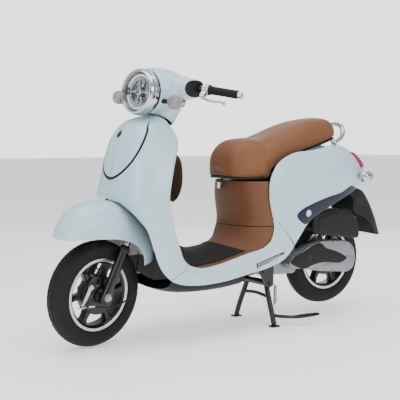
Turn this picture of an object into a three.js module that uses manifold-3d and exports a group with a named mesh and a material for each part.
// A 50 cc step-through scooter on its centre stand, front wheel on the ground and the steering turned a
// little to the left. Millimetres. +X is forward, +Y is the rider's left and +Z is up. The origin is on the
// ground under the middle of the scooter.
import * as THREE from "three";
import { mergeVertices } from "three/addons/utils/BufferGeometryUtils.js";
import Module from "manifold-3d";

const wasm = await Module();
wasm.setup();

// ---- Driving dimensions -------------------------------------------------------------------------
const wheelbase = 1180;
const frontAxleX = 672;
const rearAxleX = frontAxleX - wheelbase;
const tyreRadius = 207;
const tyreHalfWidth = 42;
const rimRadius = 137.4;
const rearWheelLift = 44; // height of the rear tyre over the ground, on the centre stand
const casterDeg = 25.5;
const trail = 75;
const steeredDeg = 12; // how far the bars are turned to the left at rest
const forkHalf = 68; // centre of the scooter to the centre of each fork leg
const forkTravel = 50;
const gripY = 170; // inner end of each grip
const gripLength = 120;
const ribbonY = 175; // centre to the edge of the body ribbon, along the floor
const floorLow = 291; // lowest part of the floor's edge
const floorCrown = 52; // how far the middle of the floor stands over its edge
const seatTop = 802;
const seatLow = 628;
const standPivot = { x: -128, z: 178 };
const standFootY = 134;
const swingPivot = { x: -95, z: 232 };
const wall = 3; // moulded panels
const gap = 0.6; // between pieces that meet
const slideGap = 0.7; // between pieces that slide or turn in each other

const deg = Math.PI / 180;
const V = (x, y, z) => new THREE.Vector3(x, y, z);
const P = ([x, y, z]) => V(x, y, z);

// ---- Materials ----------------------------------------------------------------------------------
const finish = (colour, roughness, metalness = 0) =>
  new THREE.MeshStandardMaterial({ color: colour, roughness, metalness });
const paint = finish(0xc9dde3, 0.25);
const navyPaint = finish(0x141a33, 0.25);
const tanPlastic = finish(0x80512f, 0.6);
const tanLeather = finish(0x8a5632, 0.65);
const blackPlastic = finish(0x17181a, 0.6);
const rubber = finish(0x1b1b1c, 0.85);
const blackSteel = finish(0x141517, 0.4, 0.6);
const steel = finish(0x8f9498, 0.35, 0.9);
const chrome = finish(0xd8dadc, 0.08, 1);
const alloy = finish(0x9da2a6, 0.4, 0.85);
const clearLens = finish(0xdfe6e8, 0.05);
const redLens = finish(0x9c1230, 0.1);

// ---- Geometry helpers ---------------------------------------------------------------------------

// A closed geometry as a manifold solid whose faces point out.
function solidOf(geometry) {
  const loose = geometry.index ? geometry.toNonIndexed() : geometry;
  const bare = new THREE.BufferGeometry().setAttribute("position", loose.getAttribute("position").clone());
  const merged = mergeVertices(bare, 1e-3);
  const corners = new Uint32Array(merged.index.array);
  const kept = [];
  for (let i = 0; i < corners.length; i += 3) {
    const [a, b, c] = [corners[i], corners[i + 1], corners[i + 2]];
    if (a !== b && b !== c && c !== a) kept.push(a, b, c);
  }
  const build = (order) =>
    new wasm.Manifold(
      new wasm.Mesh({
        numProp: 3,
        vertProperties: new Float32Array(merged.attributes.position.array),
        triVerts: new Uint32Array(order),
      }),
    );
  const made = build(kept);
  if (made.volume() > 0) return made;
  const flipped = kept.map((_, i) => kept[i % 3 === 1 ? i + 1 : i % 3 === 2 ? i - 1 : i]);
  return build(flipped);
}

function geometryOf(solid) {
  const m = solid.getMesh();
  const xyz = new Float32Array(m.numVert * 3);
  for (let i = 0; i < m.numVert; i++) {
    xyz.set(m.vertProperties.subarray(i * m.numProp, i * m.numProp + 3), i * 3);
  }
  return new THREE.BufferGeometry()
    .setAttribute("position", new THREE.BufferAttribute(xyz, 3))
    .setIndex(new THREE.BufferAttribute(m.triVerts, 1));
}

const join = (...shapes) => geometryOf(shapes.map(solidOf).reduce((a, b) => a.add(b)));
const cut = (shape, ...tools) =>
  geometryOf(tools.map(solidOf).reduce((a, b) => a.subtract(b), solidOf(shape)));

function piece(name, geometry, material) {
  const mesh = new THREE.Mesh(geometryOf(solidOf(geometry)), material);
  mesh.name = name;
  return mesh;
}

const move = (geometry, x, y, z) => geometry.clone().translate(x, y, z);
const box = (x0, x1, y0, y1, z0, z1) =>
  move(new THREE.BoxGeometry(x1 - x0, y1 - y0, z1 - z0), (x0 + x1) / 2, (y0 + y1) / 2, (z0 + z1) / 2);
const mirror = (geometry) => geometry.clone().applyMatrix4(new THREE.Matrix4().makeScale(1, -1, 1));
const both = (geometry) => join(geometry, mirror(geometry));

// A piece turned about the Y axis. Its profile is [radius, y] points.
const turned = (profile, sides = 20) =>
  new THREE.LatheGeometry(
    profile.map(([r, y]) => new THREE.Vector2(r, y)),
    sides,
  );
const closed = (profile) => [...profile, profile[0]];

// A round bar from a to b.
function rod(a, b, radius, sides = 12, endRadius = radius) {
  const along = b.clone().sub(a);
  const shape = new THREE.CylinderGeometry(endRadius, radius, along.length(), sides);
  shape.applyQuaternion(new THREE.Quaternion().setFromUnitVectors(V(0, 1, 0), along.clone().normalize()));
  const middle = a.clone().add(b).multiplyScalar(0.5);
  return shape.translate(middle.x, middle.y, middle.z);
}

// A round tube bent through points.
function bent(points, radius, sides = 6, steps = 20) {
  const outline = new THREE.Shape();
  outline.absarc(0, 0, radius, 0, 2 * Math.PI);
  return new THREE.ExtrudeGeometry(outline, {
    extrudePath: new THREE.CatmullRomCurve3(points.map(P), false, "centripetal"),
    steps,
    curveSegments: sides / 2,
    bevelEnabled: false,
  });
}

// A plate whose outline is [x, z] points, from y0 to y1.
function sidePlate(outline, y0, y1) {
  const shape = new THREE.Shape(outline.map(([x, z]) => new THREE.Vector2(x, z)));
  const plate = new THREE.ExtrudeGeometry(shape, { depth: y1 - y0, bevelEnabled: false });
  return plate.rotateX(Math.PI / 2).translate(0, y1, 0);
}

function fromFaces(points, faces) {
  const made = new THREE.BufferGeometry();
  made.setAttribute("position", new THREE.Float32BufferAttribute(points.flatMap((p) => [p.x, p.y, p.z]), 3));
  made.setIndex(faces.flat());
  return made;
}

// A solid through closed rings of points, with a flat fan over each end.
function loft(rings) {
  const n = rings[0].length;
  const middleOf = (ring) => ring.reduce((s, p) => s.clone().add(p), V(0, 0, 0)).multiplyScalar(1 / n);
  const points = rings.flat().concat([middleOf(rings[0]), middleOf(rings.at(-1))]);
  const start = rings.length * n;
  const last = (rings.length - 1) * n;
  const faces = [];
  for (let j = 0; j < n; j++) {
    const k = (j + 1) % n;
    for (let i = 0; i + 1 < rings.length; i++) {
      const [a, b] = [i * n, (i + 1) * n];
      faces.push([a + j, a + k, b + k], [a + j, b + k, b + j]);
    }
    faces.push([start, k, j], [start + 1, last + j, last + k]);
  }
  return fromFaces(points, faces);
}

// A ring of points round a centre, across the two given directions. A power over 2 squares it off, and four
// sides make a rectangle.
function ring(centre, across, up, sides, power = 2) {
  const points = [];
  for (let k = 0; k < sides; k++) {
    const a = (2 * Math.PI * (k + (sides === 4 ? 0.5 : 0))) / sides;
    const [c, s] = [Math.cos(a), Math.sin(a)];
    const soften = (v) => Math.sign(v) * Math.abs(v) ** (2 / power);
    points.push(centre.clone().addScaledVector(across, soften(c)).addScaledVector(up, soften(s)));
  }
  return points;
}

// The grid's own normals, row way x column way.
function gridNormals(rows) {
  const [m, n] = [rows.length, rows[0].length];
  const at = (i, j) => rows[Math.min(m - 1, Math.max(0, i))][Math.min(n - 1, Math.max(0, j))];
  return rows.map((row, i) =>
    row.map((_, j) => {
      const down = at(i + 1, j).clone().sub(at(i - 1, j));
      return down.cross(at(i, j + 1).clone().sub(at(i, j - 1))).normalize();
    }),
  );
}

const offsetRows = (rows, by) => {
  const normals = gridNormals(rows);
  return rows.map((row, i) => row.map((p, j) => p.clone().addScaledVector(normals[i][j], by)));
};

// A sheet of even wall on a grid of points. The wall grows against the grid's normals.
function sheet(rows, thick = wall) {
  const [m, n] = [rows.length, rows[0].length];
  const inner = offsetRows(rows, -thick);
  const id = (side, i, j) => side * m * n + i * n + j;
  const faces = [];
  const quad = (a, b, c, d) => faces.push([a, b, c], [a, c, d]);
  for (let i = 0; i + 1 < m; i++) {
    for (let j = 0; j + 1 < n; j++) {
      quad(id(0, i, j), id(0, i + 1, j), id(0, i + 1, j + 1), id(0, i, j + 1));
      quad(id(1, i, j), id(1, i, j + 1), id(1, i + 1, j + 1), id(1, i + 1, j));
    }
    quad(id(0, i, 0), id(1, i, 0), id(1, i + 1, 0), id(0, i + 1, 0));
    quad(id(0, i, n - 1), id(0, i + 1, n - 1), id(1, i + 1, n - 1), id(1, i, n - 1));
  }
  for (let j = 0; j + 1 < n; j++) {
    quad(id(0, 0, j), id(0, 0, j + 1), id(1, 0, j + 1), id(1, 0, j));
    quad(id(0, m - 1, j), id(1, m - 1, j), id(1, m - 1, j + 1), id(0, m - 1, j + 1));
  }
  return fromFaces([...rows.flat(), ...inner.flat()], faces);
}

// A surface made of stations. Each station is a curve from its edge to its outer point, with two handles,
// and the stations are joined by smooth curves along the length.
function surface(stations) {
  const curves = [0, 1, 2, 3].map(
    (k) => new THREE.CatmullRomCurve3(stations.map((s) => P(s[k])), false, "centripetal"),
  );
  const last = stations.length - 1;
  const point = (u, v) => {
    const [a, b, c, d] = curves.map((curve) => curve.getPoint(u / last));
    return new THREE.CubicBezierCurve3(a, b, c, d).getPoint(v);
  };
  const grid = (u0, u1, nu, v0, v1, nv) => {
    const rows = [];
    for (let i = 0; i <= nu; i++) {
      const row = [];
      for (let j = 0; j <= nv; j++) row.push(point(u0 + ((u1 - u0) * i) / nu, v0 + ((v1 - v0) * j) / nv));
      rows.push(row);
    }
    return rows;
  };
  return { point, grid, last };
}

const mix = (a, b, t) => a.map((v, i) => v + (b[i] - v) * t);
const shift = (a, x, y, z) => [a[0] + x, a[1] + y, a[2] + z];

// A station that wraps round from a side edge to the middle of the scooter.
function wrapped(edge, out, k = 0.7) {
  const first = [edge[0] + k * (out[0] - edge[0]), edge[1] + 4, mix(edge, out, 0.35)[2]];
  const second = [out[0], out[1] + k * (edge[1] - out[1]), mix(edge, out, 0.75)[2]];
  return [edge, first, second, out];
}

// A station that runs down the flank and swells outwards.
const flank = (edge, out, swell) => [
  edge,
  shift(mix(edge, out, 0.3), 0, swell, 0),
  shift(mix(edge, out, 0.75), 0, swell, 0),
  out,
];

// ---- Steering frame -----------------------------------------------------------------------------
// The steering axis meets the ground a trail length ahead of the front axle and leans back by the caster.
const steerFoot = V(frontAxleX + trail, 0, 0);
const steerUp = V(-Math.sin(casterDeg * deg), 0, Math.cos(casterDeg * deg));
const steerAhead = V(Math.cos(casterDeg * deg), 0, Math.sin(casterDeg * deg));
const onSteer = (up, ahead = 0, y = 0) =>
  steerFoot.clone().addScaledVector(steerUp, up).addScaledVector(steerAhead, ahead).add(V(0, y, 0));
const frontAxle = V(frontAxleX, 0, tyreRadius);
const axleUp = frontAxle.clone().sub(steerFoot).dot(steerUp);
const legAhead = frontAxle.clone().sub(steerFoot).dot(steerAhead);

// A piece drawn along Y about the origin, stood on the steering axis.
function stood(geometry, up, ahead = 0, y = 0) {
  const at = onSteer(up, ahead, y);
  const frame = new THREE.Matrix4().makeBasis(V(0, -1, 0), steerUp, steerAhead.clone().negate());
  return geometry.clone().applyMatrix4(frame).translate(at.x, at.y, at.z);
}

const steered = (geometry) =>
  geometry
    .clone()
    .translate(-steerFoot.x, 0, 0)
    .applyQuaternion(new THREE.Quaternion().setFromAxisAngle(steerUp, steeredDeg * deg))
    .translate(steerFoot.x, 0, 0);

const parts = [];
const add = (name, geometry, material) => parts.push(piece(name, geometry, material));
const addPair = (name, left, material) => {
  add(`${name}_left`, left, material);
  add(`${name}_right`, mirror(left), material);
};

// ---- Body ribbon: leg shield, skirt and rear cover are one flowing surface ----------------------
const shieldStations = [
  wrapped([402, 96, 866], [424, -1, 892], 0.76),
  wrapped([392, 121, 835], [502, -1, 867], 0.78),
  wrapped([380, 138, 802], [546, -1, 820], 0.78),
  wrapped([386, 156, 762], [568, -1, 765], 0.77),
  wrapped([404, 169, 724], [580, -1, 705], 0.75),
  wrapped([434, 188, 640], [594, -1, 640]),
  wrapped([448, 194, 570], [609, -1, 574]),
];
const archStations = [
  [[445, 195, 522], [545, 203, 532], [590, 150, 552], [590, 60, 556]],
  [[438, 194, 491], [520, 205, 505], [570, 168, 526], [569, 102, 529]],
  [[425, 192, 450], [500, 206, 468], [556, 186, 494], [555, 142, 500]],
  flank([409, 190, 410], [534, 176, 452], 16),
];
const skirtStations = [
  flank([398, 189, 372], [510, 184, 375], 14),
  flank([382, 188, 336], [480, 186, 303], 13),
  flank([352, 185, 308], [437, 186, 259], 13),
  flank([295, 180, floorLow], [385, 184, 238], 13),
  flank([203, ribbonY, floorLow + 7], [297, 180, 227], 14),
  flank([64, ribbonY, floorLow + 38], [187, 178, 230], 14),
  flank([-32, ribbonY, floorLow + 60], [60, 175, 248], 14),
  flank([-80, ribbonY, floorLow + 103], [-60, 172, 267], 14),
  flank([-86, ribbonY, floorLow + 142], [-148, 170, 300], 16),
];
const coverStations = [
  flank([-68, 172, 500], [-222, 168, 380], 18),
  flank([-58, 171, 558], [-262, 169, 430], 20),
  flank([-62, 168, 614], [-298, 169, 458], 22),
  flank([-82, 165, 660], [-338, 167, 476], 24),
  flank([-116, 162, 699], [-384, 165, 496], 26),
  flank([-199, 155, 734], [-434, 161, 516], 28),
  flank([-300, 148, 744], [-492, 156, 538], 30),
  [[-380, 132, 752], [-422, 168, 744], [-520, 178, 650], [-552, 143, 558]],
  [[-455, 106, 764], [-502, 146, 752], [-588, 152, 655], [-610, 118, 578]],
  [[-525, 76, 768], [-580, 108, 750], [-660, 118, 660], [-664, 88, 588]],
  [[-578, 42, 757], [-650, 70, 734], [-722, 84, 662], [-714, 54, 588]],
  [[-604, -1, 750], [-705, 0, 714], [-800, 0, 655], [-752, -1, 578]],
];
const ribbon = surface([...shieldStations, ...archStations, ...skirtStations, ...coverStations]);
const shieldEnd = 13;
const skirtEnd = 19.6;
const seam = 0.015;

add("front_cover", both(sheet(ribbon.grid(0, shieldEnd - seam, 15, 0, 1, 6))), paint);
addPair("side_skirt", sheet(ribbon.grid(shieldEnd + seam, skirtEnd - seam, 10, 0, 1, 5)), paint);
// The two rear covers meet on the middle with a small gap.
const rearGrid = (nu, nv) => ribbon.grid(skirtEnd + seam, ribbon.last, nu, 0, 1, nv);
const rightHalf = box(-900, 200, -120, gap / 2, 0, 1200);
addPair("rear_cover", cut(sheet(rearGrid(14, 6)), rightHalf), paint);

// ---- Brown inner panels -------------------------------------------------------------------------
const inset = wall + 1; // the brown panels tuck in behind the ribbon's edge
const tuck = ([x, y, z]) => [x, y - inset, z];
const floorStation = (edge, middle) => [edge, shift(edge, 0, -62, 2), shift(middle, 0, 62, 0), middle];
const boxStation = (edge, middle) => [
  edge,
  [mix(edge, middle, 0.7)[0], edge[1] - 4, mix(edge, middle, 0.3)[2]],
  [middle[0], edge[1] * 0.66, middle[2]],
  middle,
];
const shieldStation = (edge, middle) => [
  tuck(edge),
  shift(edge, -18, -44, -6),
  shift(middle, 6, 76, 4),
  middle,
];
const innerShield = surface([
  shieldStation([376, 100, 842], [322, -1, 824]),
  shieldStation([378, 122, 816], [326, -1, 792]),
  shieldStation([380, 136, 800], [330, -1, 756]),
  shieldStation([404, 168, 724], [340, -1, 694]),
  shieldStation([434, 188, 640], [348, -1, 606]),
  shieldStation([446, 194, 570], [344, -1, 532]),
  shieldStation([436, 194, 491], [338, -1, 462]),
  shieldStation([408, 190, 410], [328, -1, 400]),
  shieldStation([386, 188, 345], [312, -1, 378]),
]);
const floor = surface([
  floorStation(tuck([372, 187, 327]), [306, -1, 371]),
  floorStation(tuck([350, 185, 306]), [284, -1, 362]),
  floorStation(tuck([295, 180, floorLow]), [262, -1, floorLow + floorCrown + 10]),
  floorStation(tuck([250, 177, floorLow + 3]), [235, -1, floorLow + floorCrown + 6]),
  floorStation(tuck([203, ribbonY, floorLow + 7]), [204, -1, floorLow + floorCrown + 7]),
  floorStation(tuck([130, ribbonY, floorLow + 22]), [162, -1, floorLow + floorCrown + 11]),
  [tuck([40, ribbonY, 334]), [60, 130, 336], [116, 70, 362], [124, -1, 364]],
  [tuck([-34, ribbonY, 352]), [4, 164, 358], [66, 96, 384], [74, -1, 384]],
  boxStation(tuck([-78, ribbonY, 394]), [38, -1, 410]),
  boxStation(tuck([-86, ribbonY, 433]), [27, -1, 433]),
]);
const seatBox = surface([
  boxStation(tuck([-86, ribbonY, 436]), [27, -1, 436]),
  boxStation(tuck([-80, ribbonY, 462]), [22, -1, 462]),
  boxStation(tuck([-66, 173, 510]), [27, -1, 515]),
  boxStation(tuck([-58, 171, 560]), [32, -1, 565]),
  boxStation(tuck([-60, 168, 600]), [33, -1, 600]),
  boxStation(tuck([-64, 166, 622]), [32, -1, 622]),
]);
// Each panel is drawn for the left half and mirrored; the middle joins with a small overlap.
const wholePanel = (made, nu, nv) => both(sheet(made.grid(0, made.last, nu, 0, 1, nv)));

const floorRows = 9;
const floorColumns = 6;
const lidZ = [548, 738]; // glove box lid, bottom and top
const lidHalf = 92;
// The glove box is a pocket moulded in one with the panel, behind that opening.
const pocket = [336, 384, -76, 76, 578, 700];
const pocketInside =
  [300, pocket[1] - wall, pocket[2] + wall, pocket[3] - wall, pocket[4] + wall, pocket[5] - wall];
const shieldPanel = join(wholePanel(innerShield, 9, 4), box(...pocket));
add("inner_shield", cut(shieldPanel, box(...pocketInside)), tanPlastic);
add("floor_panel", wholePanel(floor, floorRows, floorColumns), tanPlastic);
add("seat_box_cover", wholePanel(seatBox, 5, 6), tanPlastic);

// A bulged lid hinged along its bottom edge closes the moulded glove box.
const lidStation = (z, face, half) => [
  [face + 22, half, z],
  [face + 7, half * 0.86, z],
  [face, half * 0.5, z],
  [face, -1, z],
];
const lid = surface([
  lidStation(lidZ[0], 330, lidHalf * 0.66),
  lidStation(lidZ[0] + 18, 318, lidHalf * 0.86),
  lidStation(lidZ[0] + 62, 307, lidHalf),
  lidStation(lidZ[1] - 70, 304, lidHalf),
  lidStation(lidZ[1] - 24, 308, lidHalf * 0.9),
  lidStation(lidZ[1], 316, lidHalf * 0.7),
]);
add("glove_box_lid", wholePanel(lid, 5, 3), tanPlastic);

// ---- Floor mat and bag hook ---------------------------------------------------------------------
// The mat follows the floor with a hair's gap and stays inside its edges.
const floorStep = floor.last / floorRows;
const matRows = offsetRows(
  floor.grid(1 * floorStep, 6 * floorStep, 5, 1 / floorColumns, 1, floorColumns - 1),
  gap + wall,
);
add("floor_mat", both(sheet(matRows)), rubber);

const hookY = -38;
const hookPivot = V(39, hookY, 610);
add(
  "bag_hook",
  join(
    rod(hookPivot.clone().add(V(2, -13, 0)), hookPivot.clone().add(V(2, 13, 0)), 5),
    box(hookPivot.x + 1, hookPivot.x + 12, hookY - 11, hookY + 11, hookPivot.z - 22, hookPivot.z + 3),
  ),
  chrome,
);

// ---- Black under-covers -------------------------------------------------------------------------
const belly = surface([
  [[430, 176, 262], [428, 176, 226], [424, 90, 206], [418, -1, 207]],
  [[392, 177, 240], [392, 170, 204], [392, 100, 196], [392, -1, 196]],
  [[330, 176, 228], [330, 172, 196], [330, 110, 190], [330, -1, 190]],
  [[240, 174, 224], [240, 168, 194], [240, 110, 187], [240, -1, 187]],
  [[150, 171, 232], [150, 160, 196], [150, 110, 187], [150, -1, 187]],
  [[70, 168, 243], [70, 160, 204], [70, 110, 194], [70, -1, 194]],
]);
add("belly_cover", wholePanel(belly, 5, 4), blackPlastic);
// Behind the front wheel the same skin turns up inside the leg shield.
const wheelHouse = surface([
  [[424, 176, 272], [410, 150, 262], [404, 80, 240], [402, -1, 232]],
  [[452, 178, 330], [404, 160, 330], [398, 80, 330], [394, -1, 330]],
  [[484, 176, 400], [416, 168, 400], [394, 90, 400], [391, -1, 400]],
  [[508, 172, 452], [430, 168, 470], [398, 90, 470], [395, -1, 470]],
]);
add("inner_fender", wholePanel(wheelHouse, 4, 4), blackPlastic);

// ---- Frame: head tube, down tube, floor rails and seat rails welded into one --------------------
const stemR = 12.5;
const headTubeR = 27;
const headUp = [590, 745];
const headTube = cut(
  rod(onSteer(headUp[0]), onSteer(headUp[1]), headTubeR, 12),
  rod(onSteer(headUp[0] - 10), onSteer(headUp[1] + 10), stemR + slideGap + 4, 12),
);
const downTube =
  bent([[462, 0, 590], [412, 0, 550], [368, 0, 480], [362, 0, 400], [348, 0, 316], [270, 0, 238]], 14, 8, 8);
const railY = 88;
const floorRail = bent(
  [[280, 0, 240], [262, 50, 236], [225, railY, 236], [60, railY, 246], [-60, railY, 262], [-150, 96, 330],
   [-172, 100, 420], [-215, 104, 540], [-330, 98, 618], [-540, 66, 660]],
  13, 6, 14,
);
const crossTube = (x, z, y) => rod(V(x, -y, z), V(x, y, z), 11, 8);
const standLug =
  sidePlate([[-90, 262], [-150, 305], [-146, 170], [-128, 160], [-110, 166], [-76, 222], [-74, 258]], 84, 92);
const seatBar = box(-12, 8, -92, 92, 598, 612);
const seatPost = (y) => bent([[-150, y, 330], [-90, y, 400], [-20, y, 500], [-4, y, 604]], 9, 6, 5);
const frame = join(
  cut(downTube, rod(onSteer(headUp[0]), onSteer(headUp[1]), headTubeR - 2, 12)),
  headTube,
  floorRail,
  mirror(floorRail),
  crossTube(150, 238, railY),
  crossTube(-330, 618, 96),
  crossTube(-535, 659, 66),
  standLug,
  mirror(standLug),
  seatPost(88),
  seatPost(-88),
  seatBar,
  rod(V(standPivot.x, -96, standPivot.z), V(standPivot.x, 96, standPivot.z), 8, 10),
  rod(V(swingPivot.x, -96, swingPivot.z), V(swingPivot.x, 96, swingPivot.z), 8, 10),
  sidePlate([[-440, 652], [-488, 652], [-482, 576], [-450, 570]], -75, -68),
  rod(V(-464, -106, 586), V(-464, -70, 586), 6, 10),
);
add("frame", frame, blackSteel);

// ---- Luggage bucket and fuel tank under the seat ------------------------------------------------
const bucketRing = (x, z, rx, ry) => ring(V(x, 0, z), V(rx, 0, 0), V(0, ry, 0), 16, 3.4);
const bucketOuter = loft([
  bucketRing(-98, 470, 62, 66),
  bucketRing(-98, 520, 76, 76),
  bucketRing(-98, 590, 84, 84),
  bucketRing(-98, 620, 86, 86),
]);
const bucketInner = loft([
  bucketRing(-98, 473, 59, 63),
  bucketRing(-98, 520, 73, 73),
  bucketRing(-98, 590, 81, 81),
  bucketRing(-98, 640, 83.5, 83.5),
]);
add("luggage_bucket", cut(bucketOuter, bucketInner), blackPlastic);
const tankRing = (x, z0, z1, ry) =>
  ring(V(x, 0, (z0 + z1) / 2), V(0, ry, 0), V(0, 0, (z1 - z0) / 2), 12, 4);
add(
  "fuel_tank",
  join(
    loft([
      tankRing(-200, 600, 684, 66),
      tankRing(-212, 592, 694, 76),
      tankRing(-300, 596, 716, 76),
      tankRing(-312, 606, 710, 66),
    ]),
    rod(V(-268, 0, 690), V(-268, 0, 722), 20, 16),
  ),
  blackSteel,
);

// ---- Seat ---------------------------------------------------------------------------------------
const seatStations = [
  // x, half width, lower face, top
  [80, 44, 642, 690],
  [74, 78, 635, 728],
  [57, 104, 631, 760],
  [22, 124, 629, 787],
  [-18, 137, seatLow, seatTop - 2],
  [-55, 146, seatLow, seatTop],
  [-82, 149, seatLow + 1, seatTop],
  [-100, 150, 663, seatTop],
  [-178, 146, 708, 826],
  [-273, 138, 738, 861],
  [-348, 122, 754, 882],
  [-437, 98, 774, 893],
  [-500, 74, 788, 890],
  [-545, 46, 798, 868],
  [-570, 24, 806, 840],
];
const baseThick = 7;
function seatRing([x, w, low, top]) {
  const tall = top - low;
  const half = [
    [0.0, 0], [0.55, 0], [0.93, 0.0], [1, 0.12], [1, 0.4], [0.93, 0.7], [0.76, 0.88], [0.46, 0.97], [0, 1],
  ];
  const left = half.map(([a, b]) => V(x, a * w, low + b * tall));
  const right = half.slice(1, -1).reverse().map(([a, b]) => V(x, -a * w, low + b * tall));
  return [...left, ...right];
}
const baseRing = ([x, w, low], grow, below) => [
  V(x, 0.84 * w + grow, low - below),
  V(x, 0.84 * w + grow, low + baseThick + grow),
  V(x, -0.84 * w - grow, low + baseThick + grow),
  V(x, -0.84 * w - grow, low - below),
];
const baseStations = seatStations.slice(1, -1);
const recessStations = baseStations.map((s) => [...s]);
recessStations[0][0] += gap;
recessStations.at(-1)[0] -= gap;
const recess = loft(recessStations.map((s) => baseRing(s, gap, 3)));
add("seat_cushion", cut(loft(seatStations.map((s) => seatRing(s))), recess), tanLeather);
add("seat_base", loft(baseStations.map((s) => baseRing(s, 0, 0))), blackPlastic);

// ---- Tail: lamp, indicators, grab rail, mudguard ------------------------------------------------
const lampLift = 5;
const lampRows = offsetRows(ribbon.grid(ribbon.last - 1.05, ribbon.last, 5, 0.3, 0.66, 5), -lampLift);
// The two halves run past the middle a little, so that they join.
for (const p of lampRows.at(-1)) p.y = -4;
add("tail_lamp_lens", both(sheet(lampRows, 7)), redLens);

const bulletProfile = [[0, 0], [15, 1], [23, 8], [26, 20], [25, 40], [19, 60], [9, 71], [0, 75]];
const alongX = (geometry, x, y, z, sign) => move(geometry.clone().rotateZ((sign * Math.PI) / 2), x, y, z);
const rearIndicator = join(
  alongX(turned(bulletProfile, 14), -609, 148, 628, 1),
  rod(V(-645, 122, 631), V(-645, 148, 629), 7, 10),
);
addPair("rear_indicator", rearIndicator, chrome);

const railPath = [[-486, 98, 783], [-522, 92, 793], [-560, 76, 818], [-581, 52, 848], [-586, 22, 863]];
const halfRail = railPath.concat([[-587, 0, 865]]);
const railLoop = [...halfRail, ...railPath.map(([x, y, z]) => [x, -y, z]).reverse()];
add("grab_rail", bent(railLoop, 9, 6, 20), chrome);

const mudguard = surface([
  [[-600, 70, 560], [-640, 70, 566], [-680, 44, 570], [-690, -1, 570]],
  [[-640, 72, 520], [-690, 70, 540], [-745, 44, 556], [-748, -1, 558]],
  [[-640, 72, 468], [-710, 70, 500], [-790, 44, 506], [-796, -1, 508]],
  [[-740, 66, 420], [-770, 62, 430], [-836, 40, 424], [-840, -1, 424]],
  [[-800, 60, 350], [-830, 50, 344], [-872, 30, 336], [-876, -1, 334]],
]);
add("rear_mudguard", wholePanel(mudguard, 6, 4), blackPlastic);

// ---- Navy side trim on the rear cover's lower edge ----------------------------------------------
const trimRowsCount = 10;
const trimStart = skirtEnd + 1.7;
const trimEnd = skirtEnd + 8.0;
const trimTop = (t) => 0.6 + 0.33 * Math.sqrt(t);
const trimRows = [];
for (let i = 0; i <= trimRowsCount; i++) {
  const t = i / trimRowsCount;
  const u = trimStart + (trimEnd - trimStart) * t;
  const from = trimTop(t);
  trimRows.push([0, 1, 2, 3].map((j) => ribbon.point(u, from + ((1 - from) * j) / 3)));
}
const trimLift = 5.5; // ribbon surface to the trim: the cover's wall and clearance
addPair("side_trim", sheet(offsetRows(trimRows, -trimLift), 2.5), navyPaint);

// ---- Fork ---------------------------------------------------------------------------------------
const crownUp = 484;
const stanchionR = 13.5;
const sliderR = 19;
const sliderFloor = 30; // the slider's blind end over the axle
const sliderTop = 200;
const stanchion = rod(
  onSteer(axleUp + sliderFloor + forkTravel + 10, legAhead, forkHalf),
  onSteer(crownUp + 22, legAhead, forkHalf),
  stanchionR,
  12,
);
const stemTop = 1052;
const crownDeep = steerAhead.clone().multiplyScalar(26);
const crownTall = steerUp.clone().multiplyScalar(10);
const crownBar = loft(
  [-80, -54, 0, 54, 80].map((y) =>
    ring(onSteer(crownUp + 11, Math.abs(y) > 50 ? legAhead : 14, y), crownDeep, crownTall, 8, 4),
  ),
);
add(
  "fork_crown",
  join(stanchion, mirror(stanchion), crownBar, rod(onSteer(crownUp), onSteer(stemTop), stemR, 12)),
  blackSteel,
);
const sliderProfile = closed([
  [0, -26], [14, -26], [sliderR, -16], [sliderR, sliderTop], [stanchionR + slideGap, sliderTop],
  [stanchionR + slideGap, sliderFloor], [0, sliderFloor],
]);
const slider = stood(turned(sliderProfile, 12), axleUp, legAhead, forkHalf);
const axleBar = rod(V(frontAxleX, -94, tyreRadius), V(frontAxleX, 94, tyreRadius), 8, 12);
add("fork_lowers", join(slider, mirror(slider), axleBar), steel);

// ---- Front fender -------------------------------------------------------------------------------
const fenderStation = (top, edge) => [
  edge,
  [mix(edge, top, 0.45)[0], edge[1] + 14, mix(edge, top, 0.45)[2]],
  [top[0], edge[1] * 0.8, top[2]],
  top,
];
const fender = surface([
  fenderStation([852, -1, 434], [800, 62, 438]),
  fenderStation([832, -1, 478], [778, 80, 439]),
  fenderStation([784, -1, 541], [738, 88, 437]),
  fenderStation([720, -1, 566], [690, 91, 434]),
  fenderStation([653, -1, 567], [640, 92, 429]),
  fenderStation([562, -1, 548], [590, 91, 417]),
  fenderStation([478, -1, 494], [545, 88, 398]),
  fenderStation([425, -1, 436], [516, 84, 374]),
  fenderStation([406, -1, 387], [494, 79, 343]),
  fenderStation([403, -1, 328], [478, 66, 306]),
]);
add(
  "front_fender",
  cut(wholePanel(fender, 10, 4), rod(onSteer(540), onSteer(640), stemR + 6, 14)),
  paint,
);

// ---- Handlebar and cowl -------------------------------------------------------------------------
const barR = 11;
const barIn = V(278, gripY, 1002);
const barOut = V(228, gripY + 128, 989);
const barDir = barOut.clone().sub(barIn).normalize();
const barEnd = barIn.clone().addScaledVector(barDir, gripLength + 20);
const alongBar = (by) => barIn.clone().addScaledVector(barDir, by);
const barRoot = alongBar(-36);
const barMiddle = [barRoot.toArray(), [295, 104, 1007], [300, 56, 1008], [300, 0, 1008]];
const barPoints = [...barMiddle, ...barMiddle.slice(0, -1).map(([x, y, z]) => [x, -y, z]).reverse()];
const sleeve =
  cut(rod(onSteer(1044), onSteer(1088), 17, 12), rod(onSteer(1030), onSteer(stemTop + 2), stemR + slideGap, 12));
const gripBar = join(rod(alongBar(-38), barEnd, barR, 12), rod(alongBar(gripLength + 3), barEnd, 13.5, 12));
add(
  "handlebar",
  join(bent(barPoints, barR, 8, 10), sleeve, rod(onSteer(1082), V(300, 0, 1008), 12, 10), gripBar, mirror(gripBar)),
  steel,
);

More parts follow.
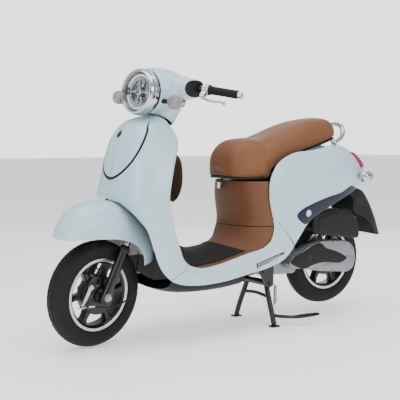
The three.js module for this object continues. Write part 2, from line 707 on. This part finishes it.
const bodyRing = (x, z, ry, rz, grow) => ring(V(x, 0, z), V(0, ry + grow, 0), V(0, 0, rz + grow), 12, 2.1);
const armRing = (y, x, z, rx, rz, grow) => ring(V(x, y, z), V(rx + grow, 0, 0), V(0, 0, rz + grow), 8, 2.3);
const neckRing = (up, ahead, ra, ry, grow) =>
  ring(onSteer(up, ahead), steerAhead.clone().multiplyScalar(ra + grow), V(0, ry + grow, 0), 10);
const cowlShape = (grow, beyond) => {
  const body = loft([
    bodyRing(456 + beyond, 982, 87, 87, grow),
    bodyRing(440, 985, 92, 86, grow),
    bodyRing(412, 988, 96, 86, grow),
    bodyRing(370, 989, 97, 87, grow),
    bodyRing(320, 990, 90, 74, grow),
    bodyRing(270, 997, 76, 50, grow),
    bodyRing(226, 1003, 54, 34, grow),
    bodyRing(204 - grow, 1005, 30, 20, grow),
  ]);
  const arm = loft([
    armRing(30, 326, 1000, 66, 50, grow),
    armRing(80, 328, 1001, 66, 44, grow),
    armRing(112, 324, 1003, 61, 38, grow),
    armRing(134 + beyond, 320, 1004, 56, 36, grow),
  ]);
  const neck = loft([
    neckRing(948 - beyond, 42, 60, 52, grow),
    neckRing(985, 42, 64, 58, grow),
    neckRing(1090, 40, 66, 60, grow),
  ]);
  return join(body, arm, mirror(arm), neck);
};
const dialAt = V(264, 0, 1034);
const dialUp = V(-0.36, 0, 0.933).normalize();
const dialHole =
  rod(dialAt.clone().addScaledVector(dialUp, -24), dialAt.clone().addScaledVector(dialUp, 40), 39, 20);
const stalkAt = V(440, 0, 950);
const stalkHole = rod(stalkAt.clone().setY(-140), stalkAt.clone().setY(140), 9, 12);
add("handlebar_cowl", cut(cowlShape(0, 0), cowlShape(-3.5, 12), dialHole, stalkHole), paint);
add(
  "speedometer",
  rod(dialAt.clone().addScaledVector(dialUp, -20), dialAt.clone().addScaledVector(dialUp, 9), 38, 20),
  blackPlastic,
);

// ---- Headlamp -----------------------------------------------------------------------------------
const lampTilt = 7;
const lampPlace = (geometry) =>
  move(geometry.clone().rotateZ(-Math.PI / 2).rotateY(-lampTilt * deg), 510, 0, 982);
const bezelProfile = closed([[89, -42], [90, -28], [86, -6], [80, 1], [75.5, -2], [75.5, -38], [84, -42]]);
add("headlamp_bezel", lampPlace(turned(bezelProfile, 20)), chrome);
const bowlProfile = closed([[0, -62], [52, -50], [74.6, -16], [74.6, -13], [71, -13], [50, -44], [0, -57]]);
add("headlamp_bowl", lampPlace(turned(bowlProfile, 20)), chrome);
const lensProfile = closed([[0, -12], [74.8, -12], [74.8, -5], [50, 5], [22, 10], [0, 11]]);
add("headlamp_lens", lampPlace(turned(lensProfile, 20)), clearLens);

// ---- Front indicators ---------------------------------------------------------------------------
const frontBullet =
  [[0, -12], [12, -11], [19, -2], [24, 20], [27, 34], [27, 46], [22, 55], [12, 60], [0, 61]];
const frontIndicator = join(
  alongX(turned(frontBullet, 14), 416, 161, 950, -1),
  rod(V(440, 84, 950), V(440, 150, 950), 7.5, 10),
);
addPair("front_indicator", frontIndicator, clearLens);

// ---- Grips, switches and levers -----------------------------------------------------------------
// Drawn with +Y out along the bar, +X ahead and +Z up, then stood on the left end of the bar.
const barAhead = barDir.clone().cross(V(0, 0, 1)).normalize();
const barUp = barAhead.clone().cross(barDir).normalize();
function onBar(geometry, tilt = 0) {
  const frame3 = new THREE.Matrix4().makeBasis(barAhead, barDir, barUp);
  return geometry.clone().rotateY(tilt * deg).applyMatrix4(frame3).translate(barIn.x, barIn.y, barIn.z);
}
const barHole = (y0, y1) =>
  move(new THREE.CylinderGeometry(barR + 0.6, barR + 0.6, y1 - y0, 12), 0, (y0 + y1) / 2, 0);
const gripProfile = closed([
  [barR + 0.6, 2], [20, 2], [20, 6], [16.5, 9], [16.2, 60],
  [17, 100], [17, gripLength], [barR + 0.6, gripLength],
]);
const grip = onBar(turned(gripProfile, 12));
add("grip_left", grip, rubber);
add("throttle_grip", mirror(grip), rubber);

const leverTilt = 44; // the levers hang this far below level
const leverPivot = [38, -14];
const pinHole = (r) =>
  move(new THREE.CylinderGeometry(r, r, 40, 14).rotateX(Math.PI / 2), leverPivot[0], leverPivot[1], 0);
const buttonAt = -12;
const perch = join(
  box(14, leverPivot[0] + 8, -23, -5, 6.2, 10),
  box(14, leverPivot[0] + 8, -23, -5, -10, -6.2),
  pinHole(3),
).rotateY(leverTilt * deg);
const pod = cut(box(-28, 0, -22, -3, -9, 9), box(-40, -21.5, buttonAt - 5.8, buttonAt + 5.8, -5.8, 5.8));
const housing = cut(
  join(move(new THREE.CylinderGeometry(22, 22, 25, 14), 0, -12.5, 0), pod, perch),
  barHole(-60, 20),
);
addPair("switch_housing", onBar(housing), chrome);
const button = onBar(rod(V(-30, buttonAt, 0), V(-24, buttonAt, 0), 5, 14));
add("horn_button", button, blackPlastic);
add("starter_button", mirror(button), blackPlastic);

const leverPath = [
  [leverPivot[0], leverPivot[1], 0], [46, -2, 0], [53, 18, 0], [53, 44, 0], [50, 66, 0], [55, 82, 0],
];
const lever = cut(
  join(
    move(new THREE.CylinderGeometry(8, 8, 11, 16).rotateX(Math.PI / 2), leverPivot[0], leverPivot[1], 0),
    bent(leverPath, 5, 6, 7),
    move(new THREE.SphereGeometry(7.5, 8, 5), 56, 84, 0),
  ),
  pinHole(3.6),
);
addPair("brake_lever", onBar(lever, leverTilt), chrome);

// ---- Wheels -------------------------------------------------------------------------------------
const tyreProfile = closed([
  [rimRadius + 0.8, -23.4], [142, -30], [150, -39],
  [175, -tyreHalfWidth], [197, -32], [tyreRadius, 0], [197, 32],
  [175, tyreHalfWidth], [150, 39], [142, 30], [rimRadius + 0.8, 23.4],
]);
const tyre = turned(tyreProfile, 28);
const rimProfile = closed([
  [121, -22], [131, -32], [141, -32], [141, -28.4],
  [rimRadius, -24], [rimRadius, 24], [141, 28.4], [141, 32],
  [131, 32], [121, 22],
]);
function wheelRim(hubProfile, spokeStart, firstSpoke) {
  const spokes = [];
  for (let k = 0; k < 6; k++) {
    const spoke = loft([
      ring(V(spokeStart, 0, 0), V(0, 15, 0), V(0, 0, 27), 4, 3),
      ring(V(96, 0, 0), V(0, 12, 0), V(0, 0, 20), 4, 3),
      ring(V(126, 0, 0), V(0, 15, 0), V(0, 0, 29), 4, 3),
    ]);
    spokes.push(spoke.rotateY(-(firstSpoke + 60 * k) * deg));
  }
  return join(turned(rimProfile, 28), turned(closed(hubProfile), 14), ...spokes);
}
const firstSpokeDeg = 58;
const atFront = (geometry) => move(geometry, frontAxleX, 0, tyreRadius);
const rearAxleZ = tyreRadius + rearWheelLift;
const atRear = (geometry) => move(geometry, rearAxleX, 0, rearAxleZ);
const frontHub =
  [[8 + slideGap, -42], [26, -42], [34, -24], [72, -18], [76, -8], [76, 24], [8 + slideGap, 24]];
const rearHub =
  [[10 + slideGap, -40], [28, -40], [36, -24], [74, -18], [78, -8], [78, 40], [10 + slideGap, 40]];
add("front_tyre", atFront(tyre), rubber);
add("front_rim", atFront(wheelRim(frontHub, 66, firstSpokeDeg)), blackSteel);
add("rear_tyre", atRear(tyre), rubber);
add("rear_rim", atRear(wheelRim(rearHub, 68, firstSpokeDeg)), blackSteel);

// ---- Front brake: backing panel, cam arm and cable ----------------------------------------------
const camAt = [54, 40]; // ahead of and above the axle
const armEnd = [94, -30];
const camX = frontAxleX + camAt[0];
const camZ = tyreRadius + camAt[1];
const panelProfile = closed([[8.3, 25.5], [77, 25.5], [77, 33], [70, 36], [46, 38], [40, 43], [8.3, 43]]);
add(
  "front_brake_panel",
  cut(atFront(turned(panelProfile, 18)), rod(V(camX, 20, camZ), V(camX, 60, camZ), 6.2, 14)),
  blackSteel,
);
const armPlate = sidePlate(
  [
    [camAt[0] - 10, camAt[1] + 4], [camAt[0] + 4, camAt[1] + 11], [camAt[0] + 12, camAt[1] + 1],
    [armEnd[0] + 7, armEnd[1] + 3], [armEnd[0] + 3, armEnd[1] - 8], [armEnd[0] - 7, armEnd[1] - 4],
  ],
  45.5,
  51,
);
add(
  "front_brake_arm",
  join(move(armPlate, frontAxleX, 0, tyreRadius), rod(V(camX, 30, camZ), V(camX, 56, camZ), 5.5, 14)),
  steel,
);
const cableStart = [frontAxleX + armEnd[0] - 14, 58, tyreRadius + armEnd[1]];
const cablePath = [
  cableStart, [720, 60, 176], [676, 98, 174], [610, 100, 184],
  [540, 88, 216], [518, 60, 262], [506, 55, 318], [501, 53, 362],
];
add("front_brake_cable", bent(cablePath, 3, 5, 18), blackPlastic);

// ---- Swing unit: crankcase, cylinder, belt case, air cleaner, exhaust ---------------------------
const beltOutline = [
  [-213, 258], [-236, 290], [-288, 308], [-331, 331], [-399, 347], [-490, 345], [-568, 335], [-602, 305],
  [-612, 262], [-602, 215], [-570, 194], [-500, 198], [-373, 213], [-305, 228], [-240, 234],
];
const centred = (outline) => {
  const middle =
    outline.reduce((m, p) => [m[0] + p[0] / outline.length, m[1] + p[1] / outline.length], [0, 0]);
  return middle;
};
const shrunk = (outline, by) => {
  const [mx, mz] = centred(outline);
  return outline.map(([x, z]) => {
    const far = Math.hypot(x - mx, z - mz);
    return [x + ((mx - x) * by) / far, z + ((mz - z) * by) / far];
  });
};
const outlineRing = (outline, y) => outline.map(([x, z]) => V(x, y, z));
const plateSolid = (outline, y0, y1) => loft([outlineRing(outline, y0), outlineRing(outline, y1)]);
const rightArm = [
  [-280, 300], [-280, 222], [-400, 222], [-500, 226],
  [-548, 240], [-560, 280], [-562, 335], [-548, 350], [-530, 340],
  [-510, 300], [-400, 298],
];
const pivotBoss = (y) =>
  rod(V(swingPivot.x, y - 22, swingPivot.z), V(swingPivot.x, y + 22, swingPivot.z), 17, 18);
const hanger = (y) =>
  sidePlate([[-97, 247], [-240, 300], [-260, 215], [-150, 212], [-97, 217]], y - 8, y + 8);
const crankcase = join(
  box(-290, -206, -58, 62, 214, 342),
  plateSolid(shrunk(beltOutline, 3), 46, 63),
  sidePlate(rightArm, -60, -48),
  pivotBoss(53),
  pivotBoss(-53),
  hanger(53),
  hanger(-53),
  rod(V(rearAxleX, -60, rearAxleZ), V(rearAxleX, 62, rearAxleZ), 10, 14),
  rod(V(-545, -106, 334), V(-545, -50, 334), 6, 12),
);
const swingBore =
  rod(V(swingPivot.x, -120, swingPivot.z), V(swingPivot.x, 120, swingPivot.z), 8 + slideGap, 18);
add("crankcase", cut(crankcase, swingBore), alloy);

const cylinderTurned = [[0, 0], [40, 0]];
for (let k = 0; k < 5; k++) {
  cylinderTurned.push([40, 6 + 17 * k], [47, 6 + 17 * k], [47, 13 + 17 * k], [40, 13 + 17 * k]);
}
cylinderTurned.push([42, 92], [42, 118], [30, 130], [0, 130]);
add("engine_cylinder", alongX(turned(cylinderTurned, 12), -205, 0, 306, -1), alloy);

add(
  "belt_cover",
  loft([
    outlineRing(beltOutline, 63.6),
    outlineRing(beltOutline, 104),
    outlineRing(shrunk(beltOutline, 7), 117),
    outlineRing(shrunk(beltOutline, 18), 122),
  ]),
  alloy,
);
const airOutline = [
  [-340, 400], [-343, 452], [-380, 474], [-485, 487],
  [-571, 474], [-610, 430], [-626, 395], [-622, 348], [-585, 346],
  [-501, 358], [-400, 370], [-350, 383],
];
add(
  "air_cleaner",
  loft([
    outlineRing(shrunk(airOutline, 6), 58),
    outlineRing(airOutline, 66),
    outlineRing(airOutline, 116),
    outlineRing(shrunk(airOutline, 12), 130),
  ]),
  blackPlastic,
);
const muffler = join(
  rod(V(-352, -116, 226), V(-630, -124, 286), 44, 20, 40),
  rod(V(-628, -124, 286), V(-652, -125, 291), 14, 14),
  bent([[-80, -6, 256], [-48, -28, 250], [-38, -88, 216], [-90, -114, 192], [-240, -118, 198], [-356, -116, 227]], 12, 6, 12),
  bent([[-430, -78, 262], [-434, -64, 262]], 8, 6, 1),
);
add("muffler", muffler, blackSteel);

// ---- Rear shock absorber ------------------------------------------------------------------------
const shockY = -92;
const shockLow = V(-545, shockY, 334);
const shockHigh = V(-464, shockY, 586);
const shockAlong = shockHigh.clone().sub(shockLow).normalize();
const onShock = (from, by) => from.clone().addScaledVector(shockAlong, by);
const eye = (at, radius) => rod(at.clone().setY(shockY - 10), at.clone().setY(shockY + 10), radius, 12);
add(
  "shock_lower",
  cut(
    join(
      eye(shockLow, 13),
      rod(shockLow, onShock(shockLow, 164), 7, 12),
      rod(onShock(shockLow, 26), onShock(shockLow, 32), 30, 12),
    ),
    rod(V(shockLow.x, -130, shockLow.z), V(shockLow.x, 0, shockLow.z), 6 + slideGap, 10),
  ),
  steel,
);
add(
  "shock_upper",
  cut(
    join(
      eye(shockHigh, 13),
      rod(shockHigh, onShock(shockHigh, -140), 17, 12),
      rod(onShock(shockHigh, -20), onShock(shockHigh, -26), 30, 12),
    ),
    rod(onShock(shockHigh, -15.5), onShock(shockHigh, -150), 10, 12),
    rod(V(shockHigh.x, -130, shockHigh.z), V(shockHigh.x, 0, shockHigh.z), 6 + slideGap, 10),
  ),
  blackSteel,
);
const coilLength = shockHigh.distanceTo(shockLow) - 26 - 32 - 12;
const coilTurns = 6;
const shockSide = shockAlong.clone().cross(V(0, 1, 0));
const coilPoints = [];
for (let k = 0; k <= coilTurns * 10; k++) {
  const a = (2 * Math.PI * k) / 10;
  const at =
    onShock(shockLow, 38 + (coilLength * k) / (coilTurns * 10)).addScaledVector(shockSide, 25 * Math.cos(a));
  coilPoints.push([at.x, at.y + 25 * Math.sin(a), at.z]);
}
add("shock_spring", bent(coilPoints, 3.6, 5, coilTurns * 8), steel);

// ---- Centre stand -------------------------------------------------------------------------------
const standLeg = bent(
  [[standPivot.x, 66, standPivot.z - 6], [-124, 84, 128], [-120, 112, 62], [-118, standFootY - 2, 8]],
  10, 6, 8,
);
const standFoot = box(-140, -96, standFootY - 18, standFootY + 18, 0, 6);
const standSleeve = rod(V(standPivot.x, -82, standPivot.z), V(standPivot.x, 82, standPivot.z), 14, 12);
const tread = join(
  bent([[-120, 118, 46], [-150, 146, 42], [-215, 178, 38], [-296, 204, 44]], 7.5, 6, 7),
  loft([
    ring(V(-205, 174, 40), V(0, 10, 0), V(0, 0, 5), 10, 3),
    ring(V(-250, 190, 41), V(0, 17, 0), V(0, 0, 5), 10, 3),
    ring(V(-300, 205, 45), V(0, 15, 0), V(0, 0, 5), 10, 3),
  ]),
);
add(
  "centre_stand",
  cut(
    join(standSleeve, standLeg, mirror(standLeg), standFoot, mirror(standFoot), tread),
    rod(V(standPivot.x, -120, standPivot.z), V(standPivot.x, 120, standPivot.z), 8 + slideGap, 12),
  ),
  blackSteel,
);

// ---- The scooter, with everything on the steering turned to its rest angle ----------------------
const steeredNames = [
  "fork", "front", "handlebar", "speedometer", "headlamp",
  "grip", "throttle", "switch", "brake", "horn", "starter",
];
for (const part of parts) {
  const turns = steeredNames.some((start) => part.name.startsWith(start)) && part.name !== "front_cover";
  if (turns) part.geometry = steered(part.geometry);
}
export default new THREE.Group().add(...parts);
